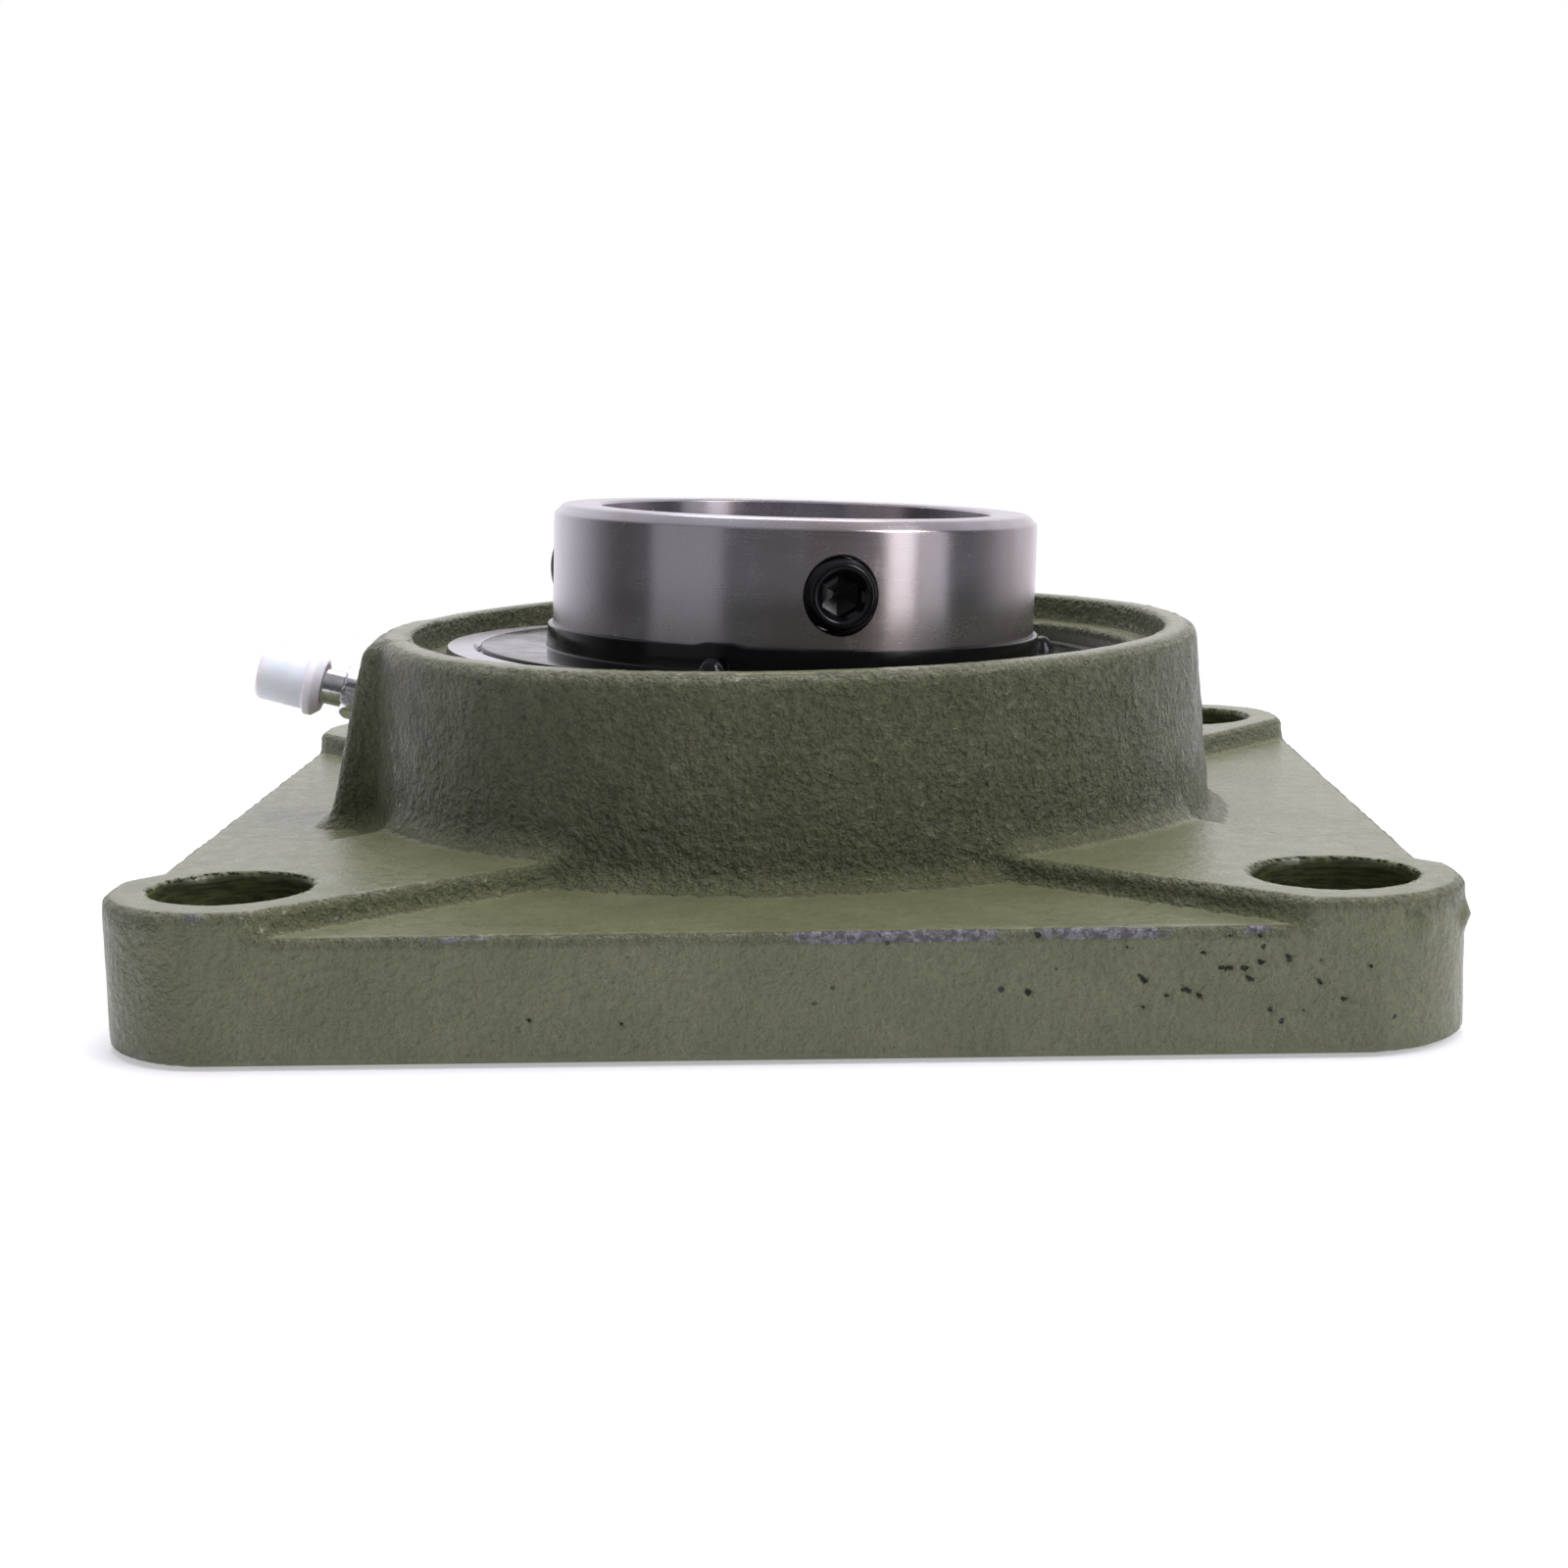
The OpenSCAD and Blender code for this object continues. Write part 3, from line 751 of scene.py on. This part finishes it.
def housing_mesh():
    """The casting's mesh, with its sand texture, pits, drips and marks for the paint."""
    low = np.array([-FLANGE_HALF, -FLANGE_HALF, 0]) - 2.5
    high = np.array([FLANGE_HALF, FLANGE_HALF, BOSS_TOP]) + 2.5
    axes = [np.arange(a, b, CELL, dtype=np.float32) for a, b in zip(low, high)]
    X = axes[0].reshape(-1, 1, 1)
    Y = axes[1].reshape(1, -1, 1)
    Z = axes[2].reshape(1, 1, -1)
    band = 3 * CELL
    field = openvdb.FloatGrid(band)
    field.copyFromArray(np.clip(housing_field(X, Y, Z), -band, band).astype(np.float32))
    points, faces = field.convertToQuads()
    points = points.astype(float) * CELL + low
    mesh = bpy.data.meshes.new("housing_casting")
    mesh.vertices.add(len(points))
    mesh.vertices.foreach_set("co", (points * MM).astype(np.float32).ravel())
    mesh.loops.add(faces.size)
    mesh.loops.foreach_set("vertex_index", faces.astype(np.int32).ravel())
    mesh.polygons.add(len(faces))
    mesh.polygons.foreach_set("loop_start", np.arange(0, faces.size, 4, dtype=np.int32))
    mesh.update(calc_edges=True)
    outward(mesh)
    weather(mesh, points)
    return mesh


def edge_bulge(mesh, points, normals):
    """How far each point stands out of the mean of its neighbours, smoothed over the mesh."""
    ends = np.empty(len(mesh.edges) * 2, np.int32)
    mesh.edges.foreach_get("vertices", ends)
    a, b = ends.reshape(-1, 2).T
    count = np.bincount(a, minlength=len(points)) + np.bincount(b, minlength=len(points))

    def mean(values):
        total = np.bincount(a, values[b], len(points)) + np.bincount(b, values[a], len(points))
        return total / np.maximum(count, 1)

    middle = np.stack([mean(points[:, i]) for i in range(3)], axis=1)
    bulge = ((points - middle) * normals).sum(axis=1)
    for _ in range(4):
        bulge = mean(bulge)
    return bulge


def blow_holes(random):
    """Places and sizes of the larger blow holes on the flange's four sides."""
    spots = []
    for _ in range(44):
        side = random.integers(0, 4)
        along = random.uniform(-72, 72)
        up = random.uniform(2, 14)
        spots.append((side, along, up, random.uniform(0.1, 0.45)))
    # the dense group at the right end of the front side
    for _ in range(40):
        along = random.normal(51, 8)
        up = random.normal(10.0, 3.0)
        spots.append((0, along, up, random.uniform(0.1, 0.55)))
    places = []
    for side, along, up, size in spots:
        front, right = (along, -FLANGE_HALF), (FLANGE_HALF, along)
        back, left = (along, FLANGE_HALF), (-FLANGE_HALF, along)
        places.append((*(front, right, back, left)[side], min(up, 14.0), size))
    return places


class Skin:
    """The casting's points in millimetres, and the zones that they lie in."""

    def __init__(self, mesh, points):
        normals = np.empty(len(points) * 3, np.float32)
        mesh.vertices.foreach_get("normal", normals)
        self.points = points
        self.normals = normals.reshape(-1, 3).astype(float)
        self.up = self.normals[:, 2]
        self.x, self.y, self.z = points.T
        self.turn = np.hypot(self.x, self.y)
        self.reach = np.maximum(np.abs(self.x), np.abs(self.y))
        self.upright = np.abs(self.up) < 0.55
        self.on_boss = (self.turn > MOUTH_R + 1) * (self.turn < BOSS_R + 6)
        self.on_boss = self.on_boss * np.clip((self.z - PANEL_Z - 0.5) / 2, 0, 1)
        self.in_hole = np.zeros(len(points))
        for x in (-BOLT, BOLT):
            for y in (-BOLT, BOLT):
                wall = np.hypot(self.x - x, self.y - y) < BOLT_R + 0.35
                self.in_hole = np.maximum(self.in_hole, wall)
        # surfaces that are machined, and so smooth
        seat = (self.turn < MOUTH_R - 0.3) & (self.z < LEDGE_Z - 1.0)
        self.cut = np.maximum(self.in_hole, np.maximum(seat, self.z < 0.3))


def sand_share(skin):
    """How strong the sand texture is, from 0 to 1."""
    on_ridge = (skin.reach < FLANGE_HALF - 1) * (skin.turn > BOSS_R)
    on_ridge = on_ridge * (skin.z < FLANGE_T - 0.3) * (skin.z > PANEL_Z + 0.2)
    grit = 0.75 + 0.25 * np.clip((skin.x + 20) / 60, -1, 1)
    turned_edge = (skin.up > 0.2) * (skin.up < 0.93) * (skin.z > PANEL_Z - 2)
    level = (skin.up > 0.93) * (skin.turn > MOUTH_R + 1)
    sand = np.where(level, 0.05, 0.26) + 0.74 * grit * skin.on_boss * skin.upright
    return np.maximum(sand, 0.62 * np.maximum(on_ridge, turned_edge)) * (1 - skin.cut)


def sand_relief(skin, sand):
    """Relief of the sand mould and a slow swell, kept inside the casting's box."""
    stretch = np.stack([skin.x, skin.y, skin.z * 0.7], axis=1)
    relief = 0.12 * scattered(stretch, 1.5, SEED) + 0.08 * scattered(stretch, 2.9, SEED + 1)
    swell = 0.10 * scattered(skin.points, 17, SEED + 2)
    move = (relief * sand + swell * 0.7) * (1 - skin.cut)
    keep_in = np.minimum(FLANGE_HALF - skin.reach, BOSS_TOP - skin.z)
    return np.where(keep_in < 0.25, -0.13 + np.minimum(move, 0.12), move)


def hole_depth(skin):
    """How far inside a larger blow hole each point is, from 0 to 1."""
    deep = np.zeros(len(skin.points))
    for x, y, z, size in blow_holes(np.random.default_rng(SEED)):
        gone = np.hypot(np.hypot(skin.x - x, skin.y - y), (skin.z - z) * 1.2)
        deep = np.maximum(deep, np.clip(0.5 + (size - gone) / 1.6, 0, 1))
    return deep


def drips(skin):
    """Two paint drips on the corner to the right of the camera, in millimetres."""
    total = np.zeros(len(skin.points))
    for angle, top, length in ((-57, 17.0, 3.6), (-20, 16.6, 3.6)):
        x = BOLT + CORNER_R * math.cos(math.radians(angle))
        y = -BOLT + CORNER_R * math.sin(math.radians(angle))
        across = np.hypot(skin.x - x, skin.y - y)
        fall = np.clip((top - skin.z) / length, 0, 1.35)
        width = 1.1 + 0.7 * fall
        drop = np.clip(1 - (across / width) ** 2, 0, 1)
        total += 0.8 * drop * np.clip(1 - np.abs(fall - 0.75) / 0.62, 0, 1)
    return total


def wear_share(skin, bulge):
    """Worst on the front side's upper edge, a little on the other edges and the boss's lip."""
    edge = np.clip((bulge - 0.016) / 0.02, 0, 1)
    patchy = 0.5 + 0.5 * scattered(skin.points * [0.45, 0.45, 1], 3.0, SEED + 3)
    upper = (skin.z > PANEL_Z - 2.5) * (skin.reach > FLANGE_HALF - 3)
    front = (skin.y < -FLANGE_HALF + 3) * np.clip((skin.x + 16) / 14, 0, 1)
    front = front * np.clip((66 - skin.x) / 6, 0, 1)
    dense = np.exp(-(((skin.x - 12) / 13) ** 2))
    lip = (skin.z > BOSS_TOP - 2.5) * (skin.turn > MOUTH_R + 2)
    amount = upper * (0.34 + front * (0.30 + 0.22 * dense)) + lip * 0.36 + (skin.z < 3) * 0.30
    return edge * np.clip(amount + 0.75 * (patchy - 0.5), 0, 1) * (1 - skin.cut)


def pitted_share(skin):
    """Where the small blow holes are: on the flange's sides and on the boss."""
    on_side = (skin.reach > FLANGE_HALF - 1.5) * skin.upright
    sides = on_side * np.clip(0.35 + (skin.x + 20) / 60, 0.3, 1)
    return np.clip(sides + 0.7 * skin.on_boss * skin.upright, 0, 1)


def weather(mesh, points):
    """Moves the casting's points for sand, pits and drips, and stores what the paint needs."""
    skin = Skin(mesh, points)
    sand = sand_share(skin)
    deep = hole_depth(skin)
    wear = wear_share(skin, edge_bulge(mesh, points, skin.normals))
    move = sand_relief(skin, sand) - 0.7 * np.clip(deep * 2 - 0.8, 0, 1) + drips(skin)
    place = points + skin.normals * move[:, None]
    place[:, :2] = np.clip(place[:, :2], -FLANGE_HALF, FLANGE_HALF)
    place[:, 2] = np.clip(place[:, 2], 0, BOSS_TOP)
    mesh.vertices.foreach_set("co", (place * MM).astype(np.float32).ravel())
    mesh.update()
    add_mark(mesh, "wear", wear)
    add_mark(mesh, "sand", sand)
    add_mark(mesh, "deep", deep)
    # where the bolt holes' walls get painted shade
    add_mark(mesh, "hole", skin.in_hole * (skin.z < FLANGE_T - 0.3) * 0.92)
    add_mark(mesh, "pitted", pitted_share(skin))


# ------------------------------------------------------------------ bearing insert


def ring_mesh():
    """Inner ring: bright rounded edges, ball track and two holes for the set screws."""
    outline = [
        (BORE_R, RING_BACK + 0.4, 0.15), (BORE_R + 0.4, RING_BACK, 0.15),
        (RING_R - 1.4, RING_BACK, 0.8), (RING_R, RING_BACK + 1.4, 0.8),
        (RING_R, -5.6, 0), *track(TRACK_BOTTOM_R, TRACK_CURVE_R, TRACK_HALF), (RING_R, 5.6, 0),
        (RING_R, RING_FRONT - 1.3, 0.7), (RING_R - 1.3, RING_FRONT, 0.9),
        (BORE_R + 0.35, RING_FRONT, 0.12), (BORE_R, RING_FRONT - 0.35, 0.12),
    ]
    mesh = turned("inner_ring_ground", rounded(outline), 288)
    return carve(mesh, [screw_tool(0), screw_tool(1)])


def track(bottom, radius, half):
    """Points of a ball track's cross-section, from its lower to its upper edge."""
    centre = bottom + radius
    reach = math.asin(half / radius)
    return [
        (centre - radius * math.cos(reach * k / 6), radius * math.sin(reach * k / 6), 0)
        for k in range(-6, 7)
    ]


def screw_place(index):
    """Matrix whose +Z runs out along a set screw, from the insert's axis."""
    axis = Vector(JOINTS[f"set_screw_{index + 1}_travel"]["axis"]).normalized()
    local = INSERT.to_3x3().inverted() @ axis
    around = Matrix.Rotation(math.atan2(local.y, local.x), 4, "Z")
    outwards = Matrix.Rotation(math.pi / 2, 4, "Y")
    return Matrix.Translation((0, 0, SCREW_Z * MM)) @ (around @ outwards)


def screw_tool(index):
    """Cutter for a set screw's hole, with a slightly broken edge."""
    rings = [(SCREW_HOLE_R, 20), (SCREW_HOLE_R, RING_R - 0.35), (5.3, RING_R), (6.3, RING_R + 1)]
    mesh = turned("tool", rings, 96, closed=False)
    mesh.transform(screw_place(index))
    return mesh


def set_screw_mesh(index):
    """Set screw: spiral thread, bevelled end, hexagon socket with a round lead-in, cup point."""
    segments = 96
    pitch = 1.0
    top = RING_R + SCREW_OUT[index]
    angle = np.arange(segments) / segments
    point = top - SCREW_LENGTH
    rings = [(0.01, point + 1.5), (2.0, point + 0.3), (2.4, point), (3.4, point)]
    for z in np.arange(point + 0.8, top - 0.95, pitch / 8):
        wave = np.abs(((z / pitch - angle) % 1) * 2 - 1)
        fade = min(1, (top - 0.9 - z) / 0.5, (z - point - 0.3) / 0.8)
        rings.append((4.86 - 0.45 * (1 - wave) * fade - 0.2 * (1 - fade), z))
    rings += [(4.72, top - 0.85), (4.40, top - 0.40), (4.15, top - 0.12), (3.95, top - 0.02)]
    # the lead-in goes over from round to hexagonal
    socket = hexagon(5.0, segments)
    rings += [(3.75, top), (3.45, top - 0.06), (3.25, top - 0.25)]
    rings += [(np.maximum(socket, 3.0) * 0.5 + 1.5, top - 0.55), (socket + 0.02, top - 0.95)]
    rings += [(socket, top - 1.2), (socket, top - 3.6)]
    rings += [(socket * 0.6, top - 4.1), (0.01, top - 4.4)]
    return turned(f"set_screw_{index + 1}_threaded", rings, segments, closed=False)


def stake_lift(angle):
    """How much the stakes lift the collar's lip at each angle."""
    lift = np.zeros(len(angle))
    for stake in STAKES:
        away = np.abs((angle - math.radians(stake) + math.pi) % (2 * math.pi) - math.pi)
        lift += np.clip(1.25 - (away / math.radians(6)) ** 2, 0, 1) ** 2
    return lift


def stake_domes(angle, radius):
    """Height of the domes beside the stakes, at each angle, in millimetres."""
    dome = np.zeros(len(angle))
    for stake in STAKES:
        turn = angle - math.radians(stake)
        off = np.hypot(radius * np.cos(turn) - DOME_AT, radius * np.sin(turn)) / DOME_R
        dome += DOME_HEIGHT * np.sqrt(np.clip(1 - off**2, 0, 1))
    return dome


def flinger_mesh(name):
    """Pressed disc and collar. Each stake lifts the collar's lip and domes the disc beside it."""
    across_domes = [(r, FLINGER_TOP, 0) for r in np.arange(40.0, 35.2, -0.3)]
    outline = [
        (RING_R + 0.02, FLINGER_Z, 0.1), (FLINGER_R, FLINGER_Z, 0.3),
        (FLINGER_R, FLINGER_TOP, 0.35), *across_domes, (RING_R + 0.85, FLINGER_TOP, 0.25),
        (RING_R + 0.80, 14.0, 0), (RING_R + 0.70, FLINGER_LIP, 0.30),
        (RING_R + 0.02, FLINGER_LIP, 0.1),
    ]
    segments = 576
    angle = np.arange(segments) * 2 * math.pi / segments
    lift = stake_lift(angle)
    rings = []
    for r, z in rounded(outline):
        share = np.clip((z - 13.4) / 2.6, 0, 1) * (r < RING_R + 1.2)
        dome = stake_domes(angle, r) * (z > FLINGER_TOP - 0.1)
        rings.append((r, z + STAKE_LIFT * lift * share + dome))
    return turned(name, rings, segments)


# ------------------------------------------------------------------ grease nipple


def nipple_mesh():
    """Shank, hexagon, stem and head of the nipple, bored through."""
    segments = 96
    flats = hexagon(7.0, segments)
    rings = [(0.9, -6.0), (2.5, -6.0)]
    for z in np.arange(-5.6, -0.4, 0.25):
        rings.append((2.98 - 0.5 * abs((z % 1) * 2 - 1), z))
    # hexagon, with its corners turned off at both ends
    rings += [(2.5, 0.0), (np.minimum(flats, 3.75), 0.0), (np.minimum(flats, 4.0), 0.35)]
    rings += [(np.minimum(flats, 3.98), 2.35), (np.minimum(flats, 3.78), 2.7)]
    rings += [(np.minimum(flats, 3.5), 2.95), (3.3, 3.0)]
    # stem and head
    rings += [(2.6, 3.02), (2.5, 3.15), (2.5, 8.8), (3.1, 9.6), (3.1, 11.1), (2.95, 11.35)]
    rings += [(1.6, 12.7), (1.45, 12.8)]
    # mouth, seat of the check ball, chamber and duct
    rings += [(0.9, 12.8), (0.9, 12.1), (1.4, 11.6), (1.4, 4.0), (0.9, 4.0)]
    return turned("nipple_turned", rings, segments)


def cap_mesh():
    """Dust cap: a thin tapering cup with a thick bevelled rim."""
    outline = [
        (3.2, 6.0, 0.1), (3.65, 6.0, 0.15), (4.58, 7.1, 0.45), (4.58, 8.1, 0.35), (3.96, 8.5, 0.2),
        (3.80, 15.2, 0.95), (0.01, 15.2, 0), (0.01, 14.2, 0), (3.2, 14.2, 0.4),
    ]
    return turned("nipple_cap_moulded", rounded(outline), 128)


def spring_mesh():
    """Coil spring under the check ball."""
    turns = 7.5
    steps = 24
    sides = 8
    curve = []
    for k in range(int(turns * steps) + 1):
        angle = 2 * math.pi * k / steps
        height = SPRING_LOW + SPRING_LENGTH * k / (turns * steps)
        curve.append((Vector((math.cos(angle), math.sin(angle), 0)), height))
    points = []
    faces = []
    for radial, height in curve:
        for s in range(sides):
            a = 2 * math.pi * s / sides
            place = radial * (SPRING_R + WIRE_R * math.cos(a))
            points.append((place.x * MM, place.y * MM, (height + WIRE_R * math.sin(a)) * MM))
    for k in range(len(curve) - 1):
        for s in range(sides):
            t = (s + 1) % sides
            faces.append((k * sides + s, k * sides + t, (k + 1) * sides + t, (k + 1) * sides + s))
    faces.append(tuple(reversed(range(sides))))
    faces.append(tuple((len(curve) - 1) * sides + s for s in range(sides)))
    mesh = bpy.data.meshes.new("nipple_spring_coil")
    mesh.from_pydata(points, [], faces)
    outward(mesh)
    return mesh


# ------------------------------------------------------------------ the whole part


def dress_nodes():
    """Gives every CAD node the material of its slot."""
    slots = {part["node"]: part["material_slot"] for part in frame["record"]["subparts"]}
    for name, node in frame["nodes"].items():
        node.data.materials.clear()
        node.data.materials.append(MATERIALS[slots[name]])


def build_insert():
    """Inner ring, both flingers and both set screws."""
    make_piece("inner_ring_ground", ring_mesh(), INSERT, "inner_ring", "inner_ring", "ring_steel")
    flip = Matrix.Rotation(math.pi, 4, "X")
    for side, place in (("front", INSERT), ("back", INSERT @ flip)):
        name = f"flinger_{side}"
        mesh = flinger_mesh(f"{name}_pressed")
        make_piece(f"{name}_pressed", mesh, place, "inner_ring", name, "black_enamel")
    for index in (0, 1):
        name = f"set_screw_{index + 1}"
        place = INSERT @ screw_place(index)
        make_piece(f"{name}_threaded", set_screw_mesh(index), place, name, name, "black_oxide")


def build_nipple():
    """Grease nipple with its dust cap and spring."""
    make_piece("nipple_turned", nipple_mesh(), NIPPLE, "housing", "nipple_body", "zinc_plate")
    cap = cap_mesh()
    make_piece("nipple_cap_moulded", cap, NIPPLE, "dust_cap", "nipple_cap", "clear_white_plastic")
    spring = make_piece(
        "nipple_spring_coil", spring_mesh(), NIPPLE, "check_ball", "nipple_spring", "spring_steel"
    )
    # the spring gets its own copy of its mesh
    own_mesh(spring)


def build():
    """All pieces that stand for CAD nodes."""
    still = Matrix.Identity(4)
    make_piece("housing_casting", housing_mesh(), still, "housing", "housing", "green_paint", 180)
    build_insert()
    build_nipple()


make_camera()
make_studio()
make_floor()
MATERIALS = make_materials()
dress_nodes()
build()
